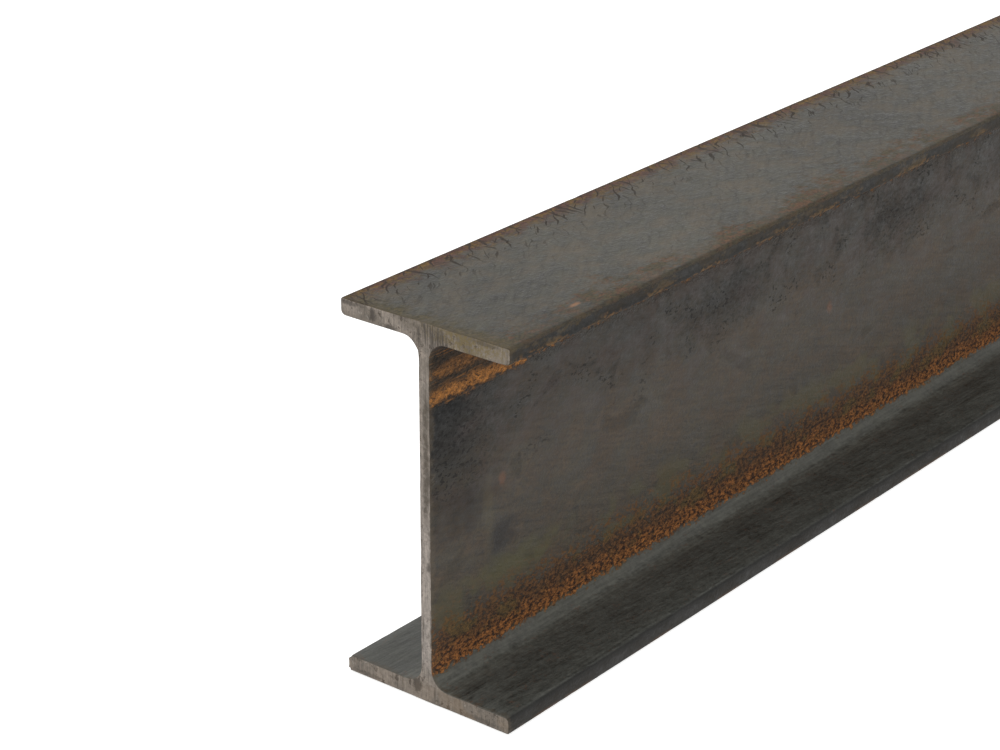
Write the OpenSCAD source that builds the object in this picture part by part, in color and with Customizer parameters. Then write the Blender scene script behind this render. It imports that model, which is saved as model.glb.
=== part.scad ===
// Hot-rolled steel I-beam with parallel flanges, one rolled piece sawn square at both ends.
// Lies along Y on its bottom flange: X is across the flanges, Z is up, units are millimetres.
// The origin is the middle of the underside.

/* [Section] */
// Overall depth of the section, over both flanges
section_depth = 160; // [140:1:200]
// Width of each flange
flange_width = 82; // [73:1:100]
// Thickness of the web
web_thickness = 5.3; // [4.4:0.1:6.5]
// Thickness of each flange
flange_thickness = 7.4; // [6.4:0.1:9.0]

/* [Rolled edges] */
// Radius of the root fillet where the web meets a flange
root_radius = 7.5; // [6:0.5:12]
// Radius of the outer corners along each flange toe
toe_outer_radius = 1.2; // [0.6:0.1:2.0]
// Radius of the inner corners along each flange toe, on the web's side
toe_inner_radius = 2.2; // [0.8:0.1:3.0]

/* [Stock] */
// Length of the cut piece
stock_length = 2000; // [1000:500:6000]

/* [Hidden] */
$fn = 96;
half_width = flange_width / 2;
half_web = web_thickness / 2;
// how far the fillet pieces reach into the plates they join
lap = 1;

// One flange plate lying on Z = 0, its web side upwards, drawn in the section plane.
module flange_section() {
    translate([-half_width + toe_inner_radius, 0])
        square([flange_width - 2 * toe_inner_radius, flange_thickness]);
    for (side = [-1, 1]) {
        // toe: the plate's end between its two rounded corners
        translate([side > 0 ? half_width - toe_inner_radius - lap : -half_width, toe_outer_radius])
            square([toe_inner_radius + lap, flange_thickness - toe_outer_radius - toe_inner_radius]);
        translate([side > 0 ? half_width - toe_inner_radius - lap : -half_width + toe_outer_radius, 0])
            square([toe_inner_radius + lap - toe_outer_radius, toe_outer_radius + 0.5]);
        translate([side * (half_width - toe_outer_radius), toe_outer_radius])
            circle(r = toe_outer_radius);
        translate([side * (half_width - toe_inner_radius), flange_thickness - toe_inner_radius])
            circle(r = toe_inner_radius);
    }
}

// The curved root between the web and the lower flange, on the +X side.
module root_section() {
    difference() {
        translate([half_web - lap, flange_thickness - lap])
            square([root_radius + lap, root_radius + lap]);
        translate([half_web + root_radius, flange_thickness + root_radius])
            circle(r = root_radius);
    }
}

// Lower half of the section: flange, both roots.
module foot_section() {
    flange_section();
    root_section();
    mirror([1, 0]) root_section();
}

module beam_section() {
    foot_section();
    translate([0, section_depth]) mirror([0, 1]) foot_section();
    translate([-half_web, flange_thickness / 2])
        square([web_thickness, section_depth - flange_thickness]);
}

module i_beam() {
    color([0.36, 0.35, 0.33])
        rotate([90, 0, 0])
            linear_extrude(height = stock_length, center = true)
                beam_section();
}

i_beam();
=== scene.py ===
import math

import bpy
import numpy as np
from mathutils import Matrix, Vector
from mathutils.geometry import delaunay_2d_cdt


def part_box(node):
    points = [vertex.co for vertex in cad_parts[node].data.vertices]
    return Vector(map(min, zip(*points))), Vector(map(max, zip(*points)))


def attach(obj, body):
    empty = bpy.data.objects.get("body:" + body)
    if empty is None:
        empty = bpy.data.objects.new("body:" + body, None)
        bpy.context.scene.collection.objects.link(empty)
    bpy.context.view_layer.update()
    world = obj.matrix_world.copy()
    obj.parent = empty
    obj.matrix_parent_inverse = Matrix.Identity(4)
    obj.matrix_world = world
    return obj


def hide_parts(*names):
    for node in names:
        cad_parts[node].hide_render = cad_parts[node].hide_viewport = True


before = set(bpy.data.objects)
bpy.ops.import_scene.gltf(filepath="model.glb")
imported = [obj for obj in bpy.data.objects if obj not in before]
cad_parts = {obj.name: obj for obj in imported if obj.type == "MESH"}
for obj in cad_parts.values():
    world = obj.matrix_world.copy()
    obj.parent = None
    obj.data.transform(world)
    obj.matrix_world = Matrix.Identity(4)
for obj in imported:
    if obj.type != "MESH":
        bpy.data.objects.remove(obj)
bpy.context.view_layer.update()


LO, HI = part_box("i_beam")
W, L, H = HI.x - LO.x, HI.y - LO.y, HI.z - LO.z

# ---------------------------------------------------------------- section, in metres
HALF = W / 2  # half the flange width
TW = 0.0053 / 2  # half the web
TF = 0.0074  # flange
ROOT = 0.0075  # root fillet
RO = 0.0012  # outer toe corner
RI = 0.0022  # inner toe corner
MM = 0.001


# ---------------------------------------------------------------- seeded value noise
def lattice(i, j, k, seed):
    """A number from 0 to 1 for each lattice point, the same on every run."""
    n = (
        i.astype(np.uint32) * np.uint32(374761393)
        + j.astype(np.uint32) * np.uint32(668265263)
        + k.astype(np.uint32) * np.uint32(2246822519)
        + np.uint32(seed * 3266489917 % 4294967296)
    )
    n = (n ^ (n >> np.uint32(13))) * np.uint32(1274126177)
    n = n ^ (n >> np.uint32(16))
    return (n & np.uint32(0xFFFFFF)).astype(np.float64) / 0xFFFFFF


def noise3(x, y, z, seed):
    """Smooth value noise from 0 to 1 with cells one unit wide."""
    xi, yi, zi = np.floor(x), np.floor(y), np.floor(z)
    fx, fy, fz = x - xi, y - yi, z - zi
    fx, fy, fz = (f * f * (3 - 2 * f) for f in (fx, fy, fz))
    xi, yi, zi = (v.astype(np.int64) + 100000 for v in (xi, yi, zi))
    out = 0.0
    for a in (0, 1):
        for b in (0, 1):
            for c in (0, 1):
                w = (fx if a else 1 - fx) * (fy if b else 1 - fy) * (fz if c else 1 - fz)
                out = out + w * lattice(xi + a, yi + b, zi + c, seed)
    return out


def fbm(x, y, z, seed, octaves=3):
    total, gain, norm = 0.0, 1.0, 0.0
    for o in range(octaves):
        f = 2.0**o
        total = total + gain * noise3(x * f + 17.3 * o, y * f + 5.1 * o, z * f, seed + o)
        norm += gain
        gain *= 0.5
    return total / norm


def step(a, b, v):
    t = np.clip((v - a) / (b - a), 0, 1)
    return t * t * (3 - 2 * t)


# ---------------------------------------------------------------- section outline
def half_outline():
    """Points (x, z) and outward normals up the +X half of the section, from the middle of the underside to the middle of the top."""
    pts = []

    def line(a, b, n, normal, ts=None):
        for i in range(n):
            t = (ts[i] if ts is not None else i / n)
            pts.append((a[0] + (b[0] - a[0]) * t, a[1] + (b[1] - a[1]) * t, *normal))

    def arc(cx, cz, r, a0, a1, n, sign):
        for i in range(n):
            a = math.radians(a0 + (a1 - a0) * i / n)
            c, s = math.cos(a), math.sin(a)
            pts.append((cx + r * c, cz + r * s, sign * c, sign * s))

    line((0, 0), (HALF - RO, 0), 8, (0, -1))
    arc(HALF - RO, RO, RO, -90, 0, 3, 1)
    line((HALF, RO), (HALF, TF - RI), 3, (1, 0))
    arc(HALF - RI, TF - RI, RI, 0, 90, 4, 1)
    line((HALF - RI, TF), (TW + ROOT, TF), 8, (0, 1))
    arc(TW + ROOT, TF + ROOT, ROOT, 270, 180, 8, -1)
    z0, z1 = TF + ROOT, H - TF - ROOT
    lower, upper = 0.036, 0.121
    line((TW, z0), (TW, lower), 12, (1, 0))
    line((TW, lower), (TW, upper), 12, (1, 0))
    line((TW, upper), (TW, z1), 10, (1, 0))
    arc(TW + ROOT, H - TF - ROOT, ROOT, 180, 90, 8, -1)
    line((TW + ROOT, H - TF), (HALF - RI, H - TF), 8, (0, -1))
    arc(HALF - RI, H - TF + RI, RI, -90, 0, 4, 1)
    line((HALF, H - TF + RI), (HALF, H - RO), 3, (1, 0))
    arc(HALF - RO, H - RO, RO, 0, 90, 3, 1)
    line((HALF - RO, H), (0, H), 8, (0, 1))
    return pts


right = half_outline()
left = [(-x, z, -nx, nz) for x, z, nx, nz in right[:0:-1]]
# the left half runs from the middle of the top back down to the middle of the underside
outline = np.array(right + [(0.0, H, 0.0, 1.0)] + left)
N = len(outline)
gap = np.roll(outline[:, :2], -1, 0) - outline[:, :2]
run = np.concatenate([[0.0], np.cumsum(np.hypot(gap[:, 0], gap[:, 1]))])
ROUND = run[-1]

# ---------------------------------------------------------------- rings along the length
edge = [0.0, 0.35, 0.8, 1.4, 2.2, 3.2, 4.6]
near = list(np.arange(6.5, 480.0, 2.1))
mid, p, s = [], near[-1], 2.1
while p < L / MM - 60:
    s = min(s * 1.02, 7.6)
    p += s
    mid.append(p)
tail = [L / MM - v for v in (46, 34, 24, 16, 10, 6.5, 4.6, 3.2, 2.2, 1.4, 0.8, 0.35, 0.0)]
mid = [v for v in mid if v < tail[0] - 4]
along = np.array(edge + near + mid + tail) * MM
R = len(along)


def skin():
    """The beam's rolled surface: each ring is the section's outline, moved a little along its normals for the unevenness of rolled and rusted steel."""
    x = np.repeat(outline[None, :, 0], R, 0)
    z = np.repeat(outline[None, :, 1], R, 0)
    nx = np.repeat(outline[None, :, 2], R, 0)
    nz = np.repeat(outline[None, :, 3], R, 0)
    y = np.repeat(along[:, None], N, 1)
    X, Y, Z = x / MM, y / MM, z / MM
    toe = step(36, 40.5, np.abs(X))
    side = np.where(X > 0, 1.0, -1.0)
    # slow waviness of the rolled toes and faces, always into the steel on the outside faces
    sink = 0.05 + 0.12 * toe * noise3(side * 3.1, Y / 95, Z / 60, 3)
    sink += 0.05 * fbm(X / 30, Y / 55, Z / 30, 11, 2)
    # small rolled-in nicks along the toes' corners
    nick = fbm(X / 3, Y / 4.5, Z / 3, 21, 2)
    sink += toe * 0.22 * step(0.63, 0.86, nick)
    # one toe of the bottom flange is rolled rounder than the others
    sink += np.where((X < -34) & (Z < TF / MM + 0.2), 1.7 * np.abs(nx * nz), 0.0)
    # scale and rust stand up and pit along the roots and low on the web
    web = 1 - step(5, 8, np.abs(X))
    low = web * step(12.0, 13.6, Z) * (1 - step(26, 36, Z))
    high = web * step(121, 127, Z) * (1 - step(145, 148, Z))
    rough = fbm(side * 40 + X / 2.6, Y / 3.4, Z / 2.4, 31, 2) - 0.5
    sink -= (low * 0.30 + high * 0.22) * rough
    # the sawn edge is broken by a fraction of a millimetre
    for end in (Y, L / MM - Y):
        wear = (0.16 + 0.30 * fbm(X / 2.2, side * 7 + 0 * Y, Z / 2.2, 41, 2)) * (0.3 + 0.7 * step(5, 12, np.abs(X)))
        sink += wear * (1 - np.clip(end / 0.35, 0, 1)) + 0.05 * (1 - step(0.3, 2.2, end))
    sink = np.maximum(sink, 0.0) * (1 - low - high) + sink * (low + high)
    px = X - nx * sink
    pz = Z - nz * sink
    return np.stack([px * MM, y + LO.y, pz * MM], 2)


def sawn(x, z, seed):
    """How far a sawn face is cut in, in millimetres, at places in millimetres."""
    lines = fbm(x / 0.9 + 0.15 * np.sin(z / 9), z / 26, 0 * x + seed, 51 + seed, 2)
    pits = fbm(x / 2.1, z / 2.6, 0 * x, 61 + seed, 2)
    return 0.03 + 0.10 * lines + 0.28 * step(0.68, 0.84, pits)


grid = skin()
verts = grid.reshape(-1, 3)
for end, seed in ((0, 1), (R - 1, 2)):  # the cut face's own border follows the saw marks
    ring = slice(end * N, (end + 1) * N)
    cut = sawn(verts[ring, 0] / MM, verts[ring, 2] / MM, seed) * MM
    verts[ring, 1] += cut if end == 0 else -cut

faces, slots, uv, flat = [], [], [], []
SPLIT = int(np.argmin(np.abs(along - 0.70)))
PX = 1024.0


def side_uv(i, j, block):
    """Where a corner of the rolled surface lies on the piece's own map: the near 0.7 m in one block, the rest in another."""
    v = run[j] / ROUND
    if block == 0:
        return (6 + 846 * along[i] / along[SPLIT]) / PX, (398 + 618 * v) / PX
    t = (along[i] - along[SPLIT]) / (along[-1] - along[SPLIT])
    return (6 + 1012 * t) / PX, (6 + 382 * v) / PX


for i in range(R - 1):
    block = 0 if i < SPLIT else 1
    for j in range(N):
        k = (j + 1) % N
        faces.append((i * N + j, i * N + k, (i + 1) * N + k, (i + 1) * N + j))
        slots.append(0)
        uv += [side_uv(i, j, block), side_uv(i, j + 1, block), side_uv(i + 1, j + 1, block), side_uv(i + 1, j, block)]
        flat += [(along[i], run[j]), (along[i], run[j + 1]), (along[i + 1], run[j + 1]), (along[i + 1], run[j])]


def inside(x, z):
    """True for places in millimetres that lie well inside the section."""
    ax, hz = abs(x), min(z, H / MM - z)
    if hz < 0.9:
        return False
    if hz < TF / MM - 0.9:
        return ax < HALF / MM - 1.1
    if ax < TW / MM - 0.8:
        return True
    c = (TW + ROOT) / MM
    return ax < c - 0.6 and math.hypot(ax - c, hz - (TF + ROOT) / MM) > ROOT / MM + 0.8 and hz < (TF + ROOT) / MM


def cap(end, seed, corner):
    """A cut face: triangles over the section with points inside it, so that the saw marks and pits are in the mesh."""
    global verts
    ring = verts[end * N : (end + 1) * N]
    border = [Vector((p[0] / MM, p[2] / MM)) for p in ring]
    spots, gap_mm = [], 1.18
    rng = np.random.default_rng(70 + seed)
    rows = int(H / MM / (gap_mm * 0.866)) + 1
    for r in range(rows):
        zz = r * gap_mm * 0.866
        for c in range(-36, 37):
            xx = c * gap_mm + (gap_mm / 2 if r % 2 else 0)
            dx, dz = rng.uniform(-0.16, 0.16, 2)
            if inside(xx + dx, zz + dz):
                spots.append(Vector((xx + dx, zz + dz)))
    loop = [(a, (a + 1) % N) for a in range(N)]
    co, _, tris, own, _, _ = delaunay_2d_cdt(border + spots, loop, [], 1, 1e-5)
    index = []
    extra = []
    for n, c in enumerate(co):
        source = [o for o in own[n] if o < N]
        if source:
            index.append(end * N + source[0])
            continue
        cut = float(sawn(np.array([c.x]), np.array([c.y]), seed)[0])
        y = LO.y + cut * MM if end == 0 else HI.y - cut * MM
        index.append(len(verts) + len(extra))
        extra.append((c.x * MM, y, c.y * MM))
    verts = np.concatenate([verts, np.array(extra)])
    for t in tris:
        a, b, c = (index[v] for v in t)
        if len({a, b, c}) < 3:
            continue
        p, q, w = (co[v] for v in t)
        turn = (q - p).x * (w - p).y - (q - p).y * (w - p).x
        order = [0, 1, 2] if (turn > 0) == (end == 0) else [0, 2, 1]
        faces.append(tuple((a, b, c)[o] for o in order))
        slots.append(1)
        for o in order:
            place = (p, q, w)[o]
            flat.append((place.x * MM, place.y * MM))
            uv.append(((corner[0] + (place.x + HALF / MM) * 1.82) / PX, (corner[1] + place.y * 1.86) / PX))


cap(0, 1, (866, 404))
cap(R - 1, 2, (866, 712))

me = bpy.data.meshes.new("rolled_beam")
me.from_pydata([tuple(v) for v in verts], [], faces)
me.update()
layer = me.uv_layers.new(name="OFBake")
layer.uv.foreach_set("vector", np.array(uv, np.float32).ravel())
# metres along the beam and metres round its section, unrolled, for the patterns
layer = me.uv_layers.new(name="Unrolled")
layer.uv.foreach_set("vector", np.array(flat, np.float32).ravel())
me.uv_layers["OFBake"].active_render = True
me.uv_layers.active = me.uv_layers["OFBake"]
me.polygons.foreach_set("material_index", np.array(slots, np.int32))
me.polygons.foreach_set("use_smooth", np.ones(len(me.polygons), bool))
rim = set()
for ring in (0, R - 1):
    for j in range(N):
        a, b = ring * N + j, ring * N + (j + 1) % N
        rim.add((min(a, b), max(a, b)))
flags = np.array([tuple(sorted(e.vertices)) in rim for e in me.edges])
me.edges.foreach_set("use_edge_sharp", flags)
me.update()
me.validate()
beam = bpy.data.objects.new("rolled_beam", me)
bpy.context.scene.collection.objects.link(beam)
print("TRIANGLES", sum(len(p.vertices) - 2 for p in me.polygons), "rings", R, "points", N)


# ---------------------------------------------------------------- material nodes
def lin(r, g, b):
    """An sRGB colour, 0 to 255, as linear light."""
    return tuple(
        c / 255 / 12.92 if c / 255 <= 0.04045 else ((c / 255 + 0.055) / 1.055) ** 2.4 for c in (r, g, b)
    )


class Nodes:
    """Short names for the nodes that the two materials are made of. Values are sockets or plain numbers."""

    def __init__(self, name):
        self.mat = bpy.data.materials.new(name)
        self.mat.use_nodes = True
        self.nt = self.mat.node_tree
        self.nt.nodes.clear()
        self.out = self.nt.nodes.new("ShaderNodeOutputMaterial")
        self.bsdf = self.nt.nodes.new("ShaderNodeBsdfPrincipled")
        self.nt.links.new(self.bsdf.outputs[0], self.out.inputs["Surface"])

    def none(self, v):
        """True for a mask that this material hasn't got, so that what hangs on it is left out."""
        return isinstance(v, float) and v == 0.0

    def put(self, socket, value):
        if value is None:
            return
        if isinstance(value, (int, float)):
            socket.default_value = value
        elif isinstance(value, tuple):
            socket.default_value = value if len(value) == len(socket.default_value) else (*value, 1.0)
        else:
            self.nt.links.new(value, socket)

    def math(self, op, a, b=None, c=None, clamp=False):
        n = self.nt.nodes.new("ShaderNodeMath")
        n.operation = op
        n.use_clamp = clamp
        for i, v in enumerate((a, b, c)):
            self.put(n.inputs[i], v)
        return n.outputs[0]

    def add(self, *v):
        v = [w for w in v if not self.none(w)] or [0.0]
        out = v[0]
        for w in v[1:]:
            out = self.math("ADD", out, w)
        return out

    def sub(self, a, b):
        return self.math("SUBTRACT", a, b)

    def mul(self, *v):
        if any(self.none(w) for w in v):
            return 0.0
        out = v[0]
        for w in v[1:]:
            out = self.math("MULTIPLY", out, w)
        return out

    def most(self, *v):
        v = [w for w in v if not self.none(w)] or [0.0]
        out = v[0]
        for w in v[1:]:
            out = self.math("MAXIMUM", out, w)
        return out

    def ramp(self, v, a, b, lo=0.0, hi=1.0):
        """Smoothly from lo at a to hi at b. a may be more than b."""
        n = self.nt.nodes.new("ShaderNodeMapRange")
        n.interpolation_type = "SMOOTHSTEP"
        self.put(n.inputs["Value"], v)
        if a > b:
            a, b, lo, hi = b, a, hi, lo
        for k, w in (("From Min", a), ("From Max", b), ("To Min", lo), ("To Max", hi)):
            n.inputs[k].default_value = w
        return n.outputs["Result"]

    def inv(self, v):
        if self.none(v):
            return 1.0
        return self.math("SUBTRACT", 1.0, v)

    def vec(self, x, y, z):
        n = self.nt.nodes.new("ShaderNodeCombineXYZ")
        for i, v in enumerate((x, y, z)):
            self.put(n.inputs[i], v)
        return n.outputs[0]

    def place(self):
        """Object coordinates in millimetres: x across, y from the near end, z up."""
        t = self.nt.nodes.new("ShaderNodeTexCoord")
        s = self.nt.nodes.new("ShaderNodeSeparateXYZ")
        self.nt.links.new(t.outputs["Object"], s.inputs[0])
        return (
            self.mul(s.outputs[0], 1000.0),
            self.math("MULTIPLY_ADD", s.outputs[1], 1000.0, -LO.y * 1000),
            self.mul(s.outputs[2], 1000.0),
        )

    def unrolled(self):
        """Millimetres along the beam and round its section. On a sawn end they are x and z."""
        t = self.nt.nodes.new("ShaderNodeUVMap")
        t.uv_map = "Unrolled"
        s = self.nt.nodes.new("ShaderNodeSeparateXYZ")
        self.nt.links.new(t.outputs["UV"], s.inputs[0])
        self.u, self.v = self.mul(s.outputs[0], 1000.0), self.mul(s.outputs[1], 1000.0)
        return self.u, self.v

    def noise(self, ku, kv, detail=2.0, rough=0.5, off=0.0, u=None, v=None, twist=0.0):
        """Flat noise with cells 1/ku mm along the beam and 1/kv mm round it."""
        n = self.nt.nodes.new("ShaderNodeTexNoise")
        n.noise_dimensions = "2D"
        u = self.u if u is None else u
        v = self.v if v is None else v
        place = self.vec(self.math("MULTIPLY_ADD", u, ku, off), self.math("MULTIPLY_ADD", v, kv, off * 1.7), 0.0)
        self.put(n.inputs["Vector"], place)
        n.inputs["Scale"].default_value = 1.0
        n.inputs["Detail"].default_value = detail
        n.inputs["Roughness"].default_value = rough
        n.inputs["Distortion"].default_value = twist
        return n.outputs["Fac"]

    def mix(self, f, a, b, kind="MIX"):
        if self.none(f):
            return a
        n = self.nt.nodes.new("ShaderNodeMix")
        n.data_type = "RGBA"
        n.blend_type = kind
        n.clamp_factor = True
        self.put(n.inputs[0], f)
        self.put(n.inputs[6], a)
        self.put(n.inputs[7], b)
        return n.outputs[2]

    def level(self, f, a, b):
        """A number that goes from a to b as f goes from 0 to 1."""
        if self.none(f):
            return a
        n = self.nt.nodes.new("ShaderNodeMix")
        n.data_type = "FLOAT"
        n.clamp_factor = True
        for i, v in zip((0, 2, 3), (f, a, b)):
            self.put(n.inputs[i], v)
        return n.outputs[0]

    def shade(self, colour, by):
        """A colour times a number."""
        if by == 1.0:
            return colour
        n = self.nt.nodes.new("ShaderNodeVectorMath")
        n.operation = "SCALE"
        self.put(n.inputs[0], colour)
        self.put(n.inputs["Scale"], by)
        return n.outputs[0]

    def spot(self, u, v, cu, cv, ru, rv, soft=0.35, wobble=None):
        """1 inside an oval at (cu, cv), fading out to 0 past its edge."""
        a = self.mul(self.sub(u, cu), 1.0 / ru)
        b = self.mul(self.sub(v, cv), 1.0 / rv)
        d = self.math("SQRT", self.add(self.mul(a, a), self.mul(b, b)))
        if wobble is not None:
            d = self.add(d, wobble)
        return self.ramp(d, 1.0 + soft, 1.0 - soft)

    def bump(self, height, strength, distance, normal=None):
        n = self.nt.nodes.new("ShaderNodeBump")
        n.inputs["Strength"].default_value = strength
        n.inputs["Distance"].default_value = distance
        self.put(n.inputs["Height"], height)
        if normal is not None:
            self.nt.links.new(normal, n.inputs["Normal"])
        return n.outputs[0]

    def finish(self, colour, rough, normal, metallic=0.0, spec=0.5):
        self.put(self.bsdf.inputs["Base Color"], colour)
        self.put(self.bsdf.inputs["Roughness"], rough)
        self.bsdf.inputs["Metallic"].default_value = metallic
        self.bsdf.inputs["Specular IOR Level"].default_value = spec
        self.nt.links.new(normal, self.bsdf.inputs["Normal"])
        return self.mat


def mill_scale(name, *parts):
    """The rolled skin. Each part of the section gets only the features that it can show."""
    n = Nodes(name)
    x, y, z = n.place()
    n.unrolled()
    hmm, half, long = H * 1000, HALF * 1000, L * 1000
    ax = n.math("ABSOLUTE", x)
    side = n.math("GREATER_THAN", x, 0.0)

    # where things are
    inner = n.mul(n.ramp(z, 5.0, 6.4), n.ramp(z, hmm - 5.0, hmm - 6.4))
    web = n.mul(n.ramp(ax, 9.0, 5.5), inner) if "web" in parts else 0.0
    top = n.ramp(z, hmm - 2.2, hmm - 0.9) if "top" in parts else 0.0
    toe = n.ramp(ax, half - 1.8, half - 0.8) if "toe" in parts else 0.0
    under = n.ramp(z, 2.2, 0.9) if "under" in parts else 0.0
    # the bottom flange's inner face
    foot = n.mul(n.ramp(z, 13.0, 8.0), n.ramp(ax, 3.4, 6.0), inner) if "foot" in parts else 0.0
    from_left = n.add(x, half)
    from_right = n.sub(half, x)

    # the few patterns that everything is made of
    cloud = n.noise(0.0105, 0.017, 2.0, 0.5, 3.1)
    patch = n.noise(0.050, 0.062, 2.0, 0.62, 11.7)
    grain = n.noise(0.36, 0.50, 2.0, 0.72, 5.3)
    drawn = n.noise(0.030, 0.85, 1.0, 0.62, 7.9)
    ragged = n.noise(0.105, 0.150, 3.0, 0.66, 19.3)
    crumbs = n.noise(0.38, 0.62, 2.0, 0.62, 23.9)
    lump = n.noise(0.125, 0.21, 2.0, 0.6, 29.1)
    flecks = n.noise(0.62, 0.85, 2.0, 0.70, 37.7)
    slant = n.sub(n.v, n.mul(n.u, n.level(top, -0.28, 0.55)))
    brush = n.noise(0.050, 0.40, 2.0, 0.65, 43.0, v=slant)
    g, c, k = n.sub(grain, 0.5), n.sub(crumbs, 0.5), n.sub(flecks, 0.5)
    b, m = n.sub(brush, 0.5), n.sub(lump, 0.5)

    # mill scale: grey to brown-grey clouds
    base = n.mix(n.ramp(patch, 0.36, 0.64), lin(51, 48, 41), lin(57, 49, 37))
    base = n.mix(n.mul(web, 0.95), base, n.mix(n.ramp(patch, 0.4, 0.62), lin(54, 48, 38), lin(59, 50, 40)))
    base = n.mix(n.mul(top, 0.95), base, n.mix(n.ramp(patch, 0.4, 0.62), lin(55, 54, 46), lin(59, 54, 45)))
    # the bottom flange's inner face is a lighter grey: partly its own colour, partly painted light against the shade
    # between the flanges
    base = n.mix(n.mul(foot, 0.9), base, lin(71, 73, 70))
    tone = n.add(
        1.0,
        n.mul(n.sub(cloud, 0.5), n.level(top, 0.45, 1.0)),
        n.mul(n.sub(patch, 0.5), n.level(top, 0.55, 2.0)),
        n.mul(m, n.level(top, 0.5, 1.5)),
        n.mul(b, n.level(top, 0.8, 1.05)),
        n.mul(g, n.level(foot, 1.7, 1.0)),
        n.mul(k, n.level(foot, 0.9, 0.5)),
        n.mul(n.sub(drawn, 0.5), n.mul(foot, 0.9)),
    )
    colour = n.shade(base, tone)

    # the web: darker above and near the sawn end, black specks, violet and olive bloom
    blot = n.noise(0.034, 0.040, 2.0, 0.62, 41.3, twist=0.5)
    bloom = n.noise(0.055, 0.070, 2.0, 0.6, 47.9)
    wobble = n.mul(n.sub(ragged, 0.5), 2.2)
    dusk = n.most(
        n.mul(n.ramp(y, 54.0, 8.0), n.ramp(n.add(z, n.mul(n.sub(patch, 0.5), 40.0)), 60.0, 88.0)),
        n.mul(n.spot(y, z, 336.0, 106.0, 26.0, 16.0, 0.6, wobble), 0.48),
        n.mul(n.spot(y, z, 196.0, 108.0, 30.0, 15.0, 0.6, wobble), 0.36),
        n.ramp(blot, 0.60, 0.70, 0.0, 0.45),
    )
    colour = n.shade(
        colour,
        n.add(1.0, n.mul(web, n.add(n.ramp(blot, 0.34, 0.66, -0.10, 0.10), n.ramp(z, 86.0, 112.0, 0.02, -0.45), n.mul(dusk, -0.55)))),
    )
    colour = n.mix(n.mul(web, n.ramp(z, 53.0, 42.0), n.ramp(bloom, 0.46, 0.62), 0.42), colour, lin(72, 68, 40))
    colour = n.mix(n.mul(web, n.ramp(bloom, 0.52, 0.36), n.ramp(z, 44.0, 100.0), 0.30), colour, lin(60, 48, 44))
    speck_zone = n.mul(web, n.most(dusk, n.ramp(bloom, 0.56, 0.66, 0.0, 0.8)), n.ramp(z, 74.0, 96.0))
    colour = n.mix(n.mul(speck_zone, n.ramp(crumbs, 0.43, 0.38), 0.75), colour, lin(12, 11, 10))
    colour = n.mix(n.mul(web, n.ramp(flecks, 0.70, 0.77), n.add(0.35, n.mul(speck_zone, 0.5))), colour, lin(16, 14, 13))
    for cy, cz, ry, rz, deep, dark in (
        (44.5, 57.0, 8.0, 6.0, 0.80, lin(24, 21, 21)),
        (25.0, 74.0, 6.0, 9.0, 0.45, lin(28, 25, 24)),
        (35.0, 70.0, 3.0, 14.0, 0.22, lin(84, 78, 58)),
        (56.0, 43.0, 26.0, 5.0, 0.34, lin(72, 70, 38)),
    ):
        mark = n.mul(web, side, n.spot(y, z, cy, cz, ry, rz, 0.5, wobble), deep)
        colour = n.mix(mark, colour, dark)
    for cy, cz in ((43.5, 81.0), (280.0, 80.0), (1190.0, 66.0)):
        dot = n.mul(web, n.spot(y, z, cy, cz, 2.0, 2.6, 0.6, wobble), 0.5)
        colour = n.mix(dot, colour, lin(100, 62, 36))

    # rust, low on the web: bright along its foot, dark and ragged above
    upper = n.add(31.5, n.mul(n.sub(ragged, 0.5), 26.0), n.mul(c, 22.0), n.mul(k, 8.0))
    above = n.ramp(n.sub(z, upper), 3.0, -3.0)
    below = n.ramp(n.add(z, n.mul(c, 5.0), n.mul(m, 4.0)), 11.8, 13.8)
    band = n.mul(above, below, web)
    bright = n.ramp(n.add(z, n.mul(m, 16.0), n.mul(c, 14.0)), 25.0, 16.5)
    rust = n.mix(n.ramp(crumbs, 0.36, 0.60), lin(42, 26, 16), lin(92, 60, 30))
    live = n.mix(n.ramp(crumbs, 0.36, 0.62), lin(56, 34, 20), lin(144, 92, 46))
    rust = n.mix(n.mul(bright, 0.92), rust, live)
    rust = n.mix(n.mul(n.ramp(bloom, 0.50, 0.62), n.inv(bright), 0.5), rust, lin(84, 70, 34))
    rust = n.shade(rust, n.add(1.0, n.mul(k, 3.2), n.mul(g, 1.6)))
    rust = n.mix(n.ramp(flecks, 0.64, 0.72, 0.0, 0.7), rust, lin(26, 18, 14))
    band_keep = n.mul(band, n.add(0.78, n.mul(bright, 0.2)))
    colour = n.mix(band_keep, colour, rust)
    # grains of rust starting just above it
    start = n.mul(web, n.ramp(z, 46.0, 33.0), n.ramp(z, 26.0, 30.0), n.ramp(n.add(c, n.mul(n.sub(ragged, 0.5), 0.9)), 0.05, 0.13))
    colour = n.mix(n.mul(start, 0.55), colour, lin(84, 60, 32))

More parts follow.
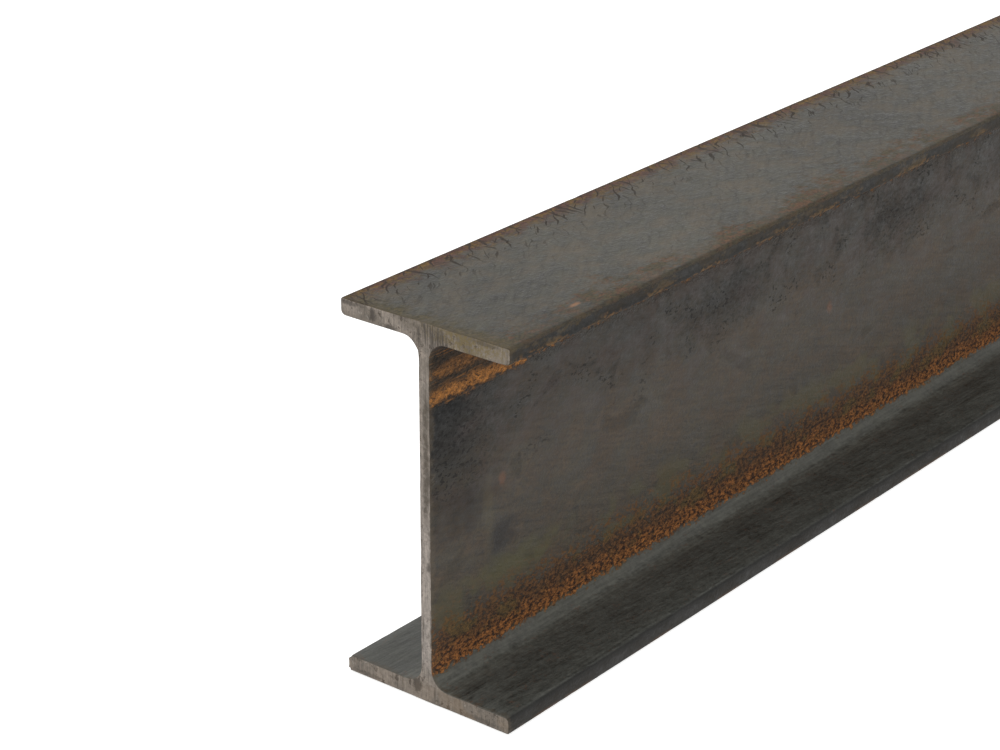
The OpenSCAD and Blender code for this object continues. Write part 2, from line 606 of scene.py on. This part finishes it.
    # the same rust high on the web, under the top flange
    rise = n.ramp(y, 44.0, 66.0, 0.0, 2.6)
    over = n.ramp(n.sub(n.add(z, n.mul(c, 5.0), n.mul(m, 5.0)), rise), 124.0, 126.6)
    hid = n.mul(web, over)
    bent = n.add(z, n.mul(m, 5.0), n.mul(c, 4.0))
    first = n.ramp(n.math("ABSOLUTE", n.sub(bent, 129.2)), 5.0, 0.6)
    second = n.ramp(n.math("ABSOLUTE", n.sub(bent, 138.6)), 4.2, 0.4)
    glow = n.most(first, n.mul(second, 0.55), n.ramp(drawn, 0.54, 0.72, 0.0, 0.45))
    glow = n.mul(glow, n.ramp(y, 60.0, 90.0, 1.0, 0.4))
    high = n.mix(glow, lin(50, 37, 23), lin(134, 87, 38))
    high = n.shade(high, n.add(1.0, n.mul(c, 2.2), n.mul(k, 2.6), n.mul(g, 1.4)))
    high = n.mix(n.ramp(flecks, 0.61, 0.69, 0.0, 0.85), high, lin(20, 16, 13))
    colour = n.mix(n.mul(hid, n.add(0.66, n.mul(glow, 0.3))), colour, high)

    # root and foot: clean, smooth steel under the rust line, darker out on the flange
    root = n.mul(n.ramp(n.add(z, n.mul(c, 5.0), n.mul(m, 4.0)), 13.0, 11.4), n.ramp(ax, 15.5, 10.5), inner)
    root = root if "foot" in parts else 0.0
    colour = n.mix(n.mul(root, 0.85), colour, n.shade(lin(85, 86, 81), n.add(1.0, n.mul(n.sub(drawn, 0.5), 0.8), n.mul(g, 1.0), n.mul(m, 0.8))))
    colour = n.mix(n.mul(foot, n.ramp(n.add(ragged, n.mul(k, 0.9)), 0.70, 0.80), 0.4), colour, lin(92, 60, 42))

    # top of the beam: a violet-brown and olive fringe along one edge
    gone = n.noise(0.021, 0.03, 1.0, 0.5, 61.0)
    fringe = n.ramp(n.sub(from_left, n.add(n.mul(ragged, 22.0), n.mul(c, 8.0), -2.5)), 6.0, -4.0)
    fringe = n.mul(top, fringe, n.add(0.50, n.mul(n.ramp(from_left, 9.0, 2.0), 0.42)))
    tint = n.mix(n.ramp(n.add(lump, n.mul(c, 0.5)), 0.44, 0.60), lin(80, 52, 42), lin(94, 70, 30))
    colour = n.mix(fringe, colour, n.shade(tint, n.add(1.0, n.mul(k, 2.0), n.mul(g, 1.5))))
    # patches of olive and rust brown along the other
    reach = n.add(n.mul(ragged, 32.0), n.mul(gone, 20.0), n.mul(c, 12.0), -17.0)
    hem = n.mul(top, n.ramp(n.sub(from_right, reach), 6.0, -6.0), n.ramp(gone, 0.32, 0.6, 0.36, 0.80))
    tint = n.mix(n.ramp(n.add(lump, n.mul(c, 0.6)), 0.42, 0.64), lin(66, 58, 36), lin(86, 58, 38))
    colour = n.mix(hem, colour, n.shade(tint, n.add(1.0, n.mul(k, 2.0), n.mul(g, 1.2))))
    near = n.mul(top, n.ramp(n.add(y, n.mul(n.sub(ragged, 0.5), 20.0), n.mul(c, 6.0)), 11.0, 0.0), 0.65)
    colour = n.mix(near, colour, n.shade(lin(74, 64, 36), n.add(1.0, n.mul(k, 2.0), n.mul(c, 2.0))))

    # dark strokes across the top, thickest by its left edge
    p = n.add(n.mul(y, 0.72), n.mul(x, -0.70))
    q = n.add(n.mul(y, 0.70), n.mul(x, 0.72), n.mul(patch, 8.0))
    long_cuts = n.noise(0.070, 0.62, 1.0, 0.5, 67.0, p, q)
    cross_cuts = n.noise(0.40, 0.045, 1.0, 0.5, 73.0, n.add(y, n.mul(patch, 8.0)), x)
    cuts = n.most(
        n.mul(n.ramp(long_cuts, 0.635, 0.70), n.ramp(from_left, 30.0, 9.0, 0.18, 1.0)),
        n.mul(n.ramp(cross_cuts, 0.645, 0.71), n.ramp(from_left, 24.0, 10.0, 0.0, 0.9)),
    )
    cuts = n.mul(top, cuts)
    colour = n.mix(n.mul(cuts, 0.85), colour, lin(34, 25, 17))
    gouge = n.mul(top, n.spot(n.add(y, n.mul(x, 0.35)), x, 60.5, 32.5, 2.6, 0.8, 0.9, wobble), 0.55)
    colour = n.mix(gouge, colour, lin(156, 108, 68))

    # toes: a darker band of painted shade on their sides, broken rust along the top flange's lower corner, lighter
    # corners that are partly rubbed wear and partly a painted highlight
    has_toe = 1.0 if "toe" in parts else 0.0
    high_toe = n.mul(has_toe, n.ramp(ax, half - 2.6, half - 1.2), n.ramp(z, hmm - 9.0, hmm - 7.6))
    # painted shade: the top flange's toe sides are coloured near black
    toe_shade_colour = n.mix(n.ramp(patch, 0.44, 0.60), lin(14, 13, 10), lin(28, 22, 12))
    colour = n.mix(n.mul(high_toe, n.inv(n.mul(top, 0.6)), 0.93), colour, n.shade(toe_shade_colour, n.add(1.0, n.mul(g, 2.0), n.mul(n.sub(cloud, 0.5), 2.0), n.mul(m, 1.5))))
    broken = n.noise(0.030, 0.10, 3.0, 0.72, 71.0)
    lip = n.mul(has_toe, n.ramp(ax, half - 3.2, half - 2.0), n.ramp(z, hmm - 7.9, hmm - 7.2), n.ramp(n.add(z, n.mul(c, 5.0), n.mul(m, 4.0)), hmm - 3.0, hmm - 6.0))
    edge_rust = n.shade(n.mix(n.ramp(crumbs, 0.40, 0.60), lin(46, 36, 18), lin(100, 68, 30)), n.add(1.0, n.mul(k, 2.0)))
    colour = n.mix(n.mul(lip, n.ramp(n.add(broken, n.mul(c, 0.3)), 0.48, 0.60, 0.0, 0.9)), colour, edge_rust)
    colour = n.mix(n.mul(high_toe, n.ramp(n.add(broken, n.mul(c, 0.5)), 0.54, 0.68), 0.55), colour, lin(66, 52, 24))
    # partly rubbed wear, partly a painted highlight along the rounded corners of the toes
    corner = n.mul(has_toe, n.ramp(ax, half - 1.6, half - 0.6), n.most(n.ramp(z, hmm - 1.7, hmm - 0.6), n.ramp(z, 1.7, 0.6)))
    colour = n.mix(n.mul(corner, n.ramp(grain, 0.42, 0.62, 0.10, 0.5)), colour, lin(70, 64, 52))
    # painted shade: the bottom flange's toe sides are coloured dark, less so towards the floor
    low_toe = n.mul(toe, n.ramp(z, 9.0, 7.0))
    colour = n.mix(n.mul(low_toe, 0.88), colour, n.shade(n.mix(n.ramp(z, 7.0, 1.5), lin(14, 13, 12), lin(24, 22, 18)), n.add(1.0, n.mul(g, 2.0), n.mul(m, 1.0))))

    # underside: rubbed and a little rusty from lying on the ground
    colour = n.mix(n.mul(under, n.ramp(patch, 0.46, 0.62), 0.55), colour, lin(84, 62, 44))

    # next to each sawn end the scale is rubbed and browner
    spread = n.add(n.mul(m, 7.0), n.mul(c, 4.0))
    tip = n.most(n.ramp(n.add(y, spread), 3.0, 0.3), n.ramp(n.add(n.sub(long, y), spread), 3.0, 0.3))
    colour = n.mix(n.mul(tip, 0.4), colour, lin(80, 70, 56))

    # gloss and relief
    rusty = n.most(band_keep, n.mul(hid, 0.9), n.mul(lip, 0.6), n.mul(fringe, 0.9), n.mul(hem, 0.75), n.mul(cuts, 0.8), n.mul(near, 0.8), n.mul(speck_zone, n.ramp(crumbs, 0.43, 0.38), 0.8))
    rough = n.add(
        0.47,
        n.mul(web, n.add(0.14, n.mul(dusk, 0.14))),
        n.mul(foot, n.inv(side), 0.12),
        n.mul(n.sub(patch, 0.5), 0.35),
        n.mul(m, 0.25),
        n.mul(g, n.level(foot, 0.45, 0.26)),
        n.mul(toe, 0.26),
        n.mul(foot, -0.03),
    )
    rough = n.level(rusty, rough, 0.95)
    crust_zone = n.mul(web, n.most(n.mul(n.ramp(z, 12.4, 13.8), n.ramp(z, 33.0, 25.0)), n.ramp(z, 123.0, 125.5)))
    relief = n.bump(
        n.add(
            n.mul(g, n.level(foot, 0.60, 0.38)),
            n.mul(k, 0.35),
            n.mul(b, 0.55),
            n.mul(m, n.level(top, 0.4, 1.1)),
            n.mul(n.sub(patch, 0.5), top, 2.0),
            n.mul(crust_zone, n.add(n.mul(c, 1.8), n.mul(k, 1.2))),
        ),
        0.75,
        0.00050,
    )
    return n.finish(colour, rough, relief, spec=0.42)


def sawn_steel():
    n = Nodes("sawn_steel")
    _, y, _ = n.place()
    x, z = n.unrolled()
    near_end = n.math("LESS_THAN", y, L * 500)
    shift = n.mul(n.inv(near_end), 91.0)
    n.u, n.v = n.add(x, shift), z
    streak = n.noise(0.95, 0.050, 3.0, 0.72, 3.0)
    hair = n.noise(3.1, 0.13, 2.0, 0.65, 7.0)
    cloud = n.noise(0.075, 0.075, 2.0, 0.55, 13.0)
    speck = n.noise(0.58, 0.50, 3.0, 0.74, 17.0)
    pit = n.noise(0.30, 0.26, 3.0, 0.75, 23.0)
    st, hr, sp = n.sub(streak, 0.5), n.sub(hair, 0.5), n.sub(speck, 0.5)
    stem = n.mul(n.ramp(n.math("ABSOLUTE", x), 5.0, 3.0), n.ramp(z, 8.0, 20.0), n.ramp(z, 150.0, 132.0))
    base = n.mix(n.ramp(cloud, 0.38, 0.62), lin(100, 92, 83), lin(122, 113, 104))
    base = n.mix(n.mul(stem, n.ramp(z, 112.0, 52.0, 0.30, 1.0)), base, lin(135, 127, 120))
    tone = n.add(1.02, n.mul(st, 1.2), n.mul(hr, 0.60), n.mul(sp, 1.3), n.mul(n.sub(pit, 0.5), 0.7))
    colour = n.shade(base, tone)
    colour = n.mix(n.ramp(streak, 0.40, 0.30, 0.0, 0.5), colour, lin(72, 62, 50))
    colour = n.mix(n.mul(n.ramp(pit, 0.58, 0.68), n.sub(0.85, n.mul(stem, 0.4))), colour, lin(60, 50, 40))
    colour = n.mix(n.ramp(pit, 0.36, 0.28, 0.0, 0.35), colour, lin(168, 160, 150))

    wob = n.add(n.mul(n.sub(pit, 0.5), 1.7), n.mul(sp, 0.6))
    # olive-brown stain on the top flange, dark patch over the web, cracks towards the other toe
    stain = n.mul(near_end, n.spot(x, z, 20.0, 157.5, 19.0, 5.0, 0.5, wob))
    colour = n.mix(n.mul(stain, n.ramp(speck, 0.40, 0.54, 0.2, 0.85)), colour, lin(96, 82, 46))
    for cx, cz, rx, rz, deep in (
        (4.0, 154.0, 8.0, 6.0, 0.85),
        (-25.0, 156.5, 1.5, 2.8, 0.8),
        (-16.5, 153.6, 3.0, 1.1, 0.8),
        (-37.0, 158.4, 4.5, 0.9, 0.7),
        (-30.0, 158.8, 3.0, 0.7, 0.5),
        (30.0, 158.6, 6.0, 0.8, 0.5),
        (1.5, 59.0, 1.1, 1.8, 0.75),
        (1.7, 96.0, 1.0, 3.0, 0.6),
        (-4.8, 6.2, 2.4, 3.4, 0.85),
        (-30.0, 1.6, 7.0, 0.8, 0.45),
        (26.0, 1.8, 8.0, 0.9, 0.45),
    ):
        mark = n.mul(near_end, n.spot(x, z, cx, cz, rx, rz, 0.5, wob), deep)
        if (cx, cz) == (4.0, 154.0):
            mark = n.mul(mark, n.ramp(streak, 0.60, 0.42, 0.35, 1.0))
        colour = n.mix(mark, colour, lin(52, 45, 38))
    # a darker streak down the upper web
    vein = n.mul(n.ramp(n.math("ABSOLUTE", n.sub(n.add(x, n.mul(n.sub(cloud, 0.5), 2.0)), 0.5)), 1.7, 0.7), n.ramp(z, 74.0, 84.0), n.ramp(z, 138.0, 122.0))
    colour = n.mix(n.mul(vein, n.ramp(pit, 0.36, 0.54, 0.25, 0.85)), colour, lin(72, 64, 54))
    rim = n.mul(n.ramp(n.math("ABSOLUTE", x), 1.6, 2.4), n.ramp(n.math("ABSOLUTE", x), 3.4, 2.8), n.ramp(pit, 0.44, 0.54), stem)
    colour = n.mix(n.mul(rim, 0.65), colour, lin(70, 62, 52))
    brown = n.mul(n.ramp(z, 9.0, 6.5), n.ramp(cloud, 0.42, 0.60), n.ramp(x, -10.0, 20.0, 0.15, 0.5))
    colour = n.mix(brown, colour, lin(98, 80, 56))

    rough = n.add(0.55, n.mul(st, 0.25), n.mul(sp, 0.2))
    relief = n.bump(n.add(n.mul(st, 0.9), n.mul(hr, 0.7), n.mul(sp, 0.6), n.mul(n.ramp(pit, 0.60, 0.70), -0.7)), 0.55, 0.00045)
    return n.finish(colour, rough, relief, metallic=0.3, spec=0.42)


me.materials.append(mill_scale("mill_scale_web", "web", "foot"))
me.materials.append(sawn_steel())
me.materials.append(mill_scale("mill_scale_flange", "foot"))
me.materials.append(mill_scale("mill_scale_top", "top"))
me.materials.append(mill_scale("mill_scale_toes", "top", "toe", "under", "foot"))
# each part of the section takes the material made for it, the sawn ends keep theirs
slots = np.array(slots, np.int32)
quads = np.array(faces[: (R - 1) * N])
ax, az = np.abs(verts[quads, 0]) / MM, verts[quads, 2] / MM
beside = (az.min(1) > 2.3) & (az.max(1) < H / MM - 2.3)
is_web = beside & (ax.min(1) < 9.1)
is_flange = beside & ~is_web & (ax.max(1) < HALF / MM - 3.3)
is_top = (az.min(1) > H / MM - 4.9) & (ax.max(1) < HALF / MM - 3.3)
slots[: len(quads)] = np.select([is_web, is_flange, is_top], [0, 2, 3], 4)
me.polygons.foreach_set("material_index", slots)

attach(beam, "root")
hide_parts("i_beam")

# ---------------------------------------------------------------- floor, light, camera
size = 14.0
fm = bpy.data.meshes.new("studio_floor")
fm.from_pydata([(-size, -size, 0), (size, -size, 0), (size, size, 0), (-size, size, 0)], [], [(0, 1, 2, 3)])
floor = bpy.data.objects.new("studio_floor", fm)
floor.location.z = -0.0004
bpy.context.scene.collection.objects.link(floor)
f = Nodes("studio_floor")
f.bsdf.inputs["Base Color"].default_value = (0.60, 0.60, 0.60, 1)
f.bsdf.inputs["Roughness"].default_value = 0.85
f.bsdf.inputs["Specular IOR Level"].default_value = 0.0
f.bsdf.inputs["Emission Color"].default_value = (1, 1, 1, 1)
f.bsdf.inputs["Emission Strength"].default_value = 0.77
fm.materials.append(f.mat)

scene = bpy.context.scene
world = bpy.data.worlds.new("studio")
scene.world = world
world.use_nodes = True
bg = world.node_tree.nodes["Background"]
bg.inputs["Color"].default_value = (1.0, 0.985, 0.955, 1)
bg.inputs["Strength"].default_value = 0.80


def softbox(name, place, aim, width, height, power):
    data = bpy.data.lights.new(name, "AREA")
    data.shape = "RECTANGLE"
    data.size, data.size_y = width, height
    data.energy = power
    ob = bpy.data.objects.new(name, data)
    ob.location = place
    ob.rotation_euler = (Vector(aim) - Vector(place)).to_track_quat("-Z", "Y").to_euler()
    scene.collection.objects.link(ob)
    return ob


softbox("overhead", (-0.8, -0.6, 2.6), (0, -0.4, 0.1), 2.6, 2.6, 26)
softbox("front", (0.9, -3.2, 1.3), (0, -0.9, 0.08), 1.8, 1.4, 9)

cam = bpy.data.cameras.new("camera")
cam.sensor_width = 36.0
cam.lens = 36.0 * 2.755
cam.clip_end = 60.0
camera = bpy.data.objects.new("camera", cam)
right_v = Vector((0.78048, 0.62518, 0.0022))
up_v = Vector((-0.24770, 0.30598, 0.91925))
back_v = Vector((0.57402, -0.71800, 0.39367))
start = Vector((0.0, LO.y, 0.0)) + Vector((0.60815, -0.71541, 0.54087))
camera.matrix_world = Matrix(
    (
        (right_v.x, up_v.x, back_v.x, start.x),
        (right_v.y, up_v.y, back_v.y, start.y),
        (right_v.z, up_v.z, back_v.z, start.z),
        (0, 0, 0, 1),
    )
)
scene.collection.objects.link(camera)
scene.camera = camera
scene.view_settings.view_transform = "Standard"
scene.view_settings.look = "None"
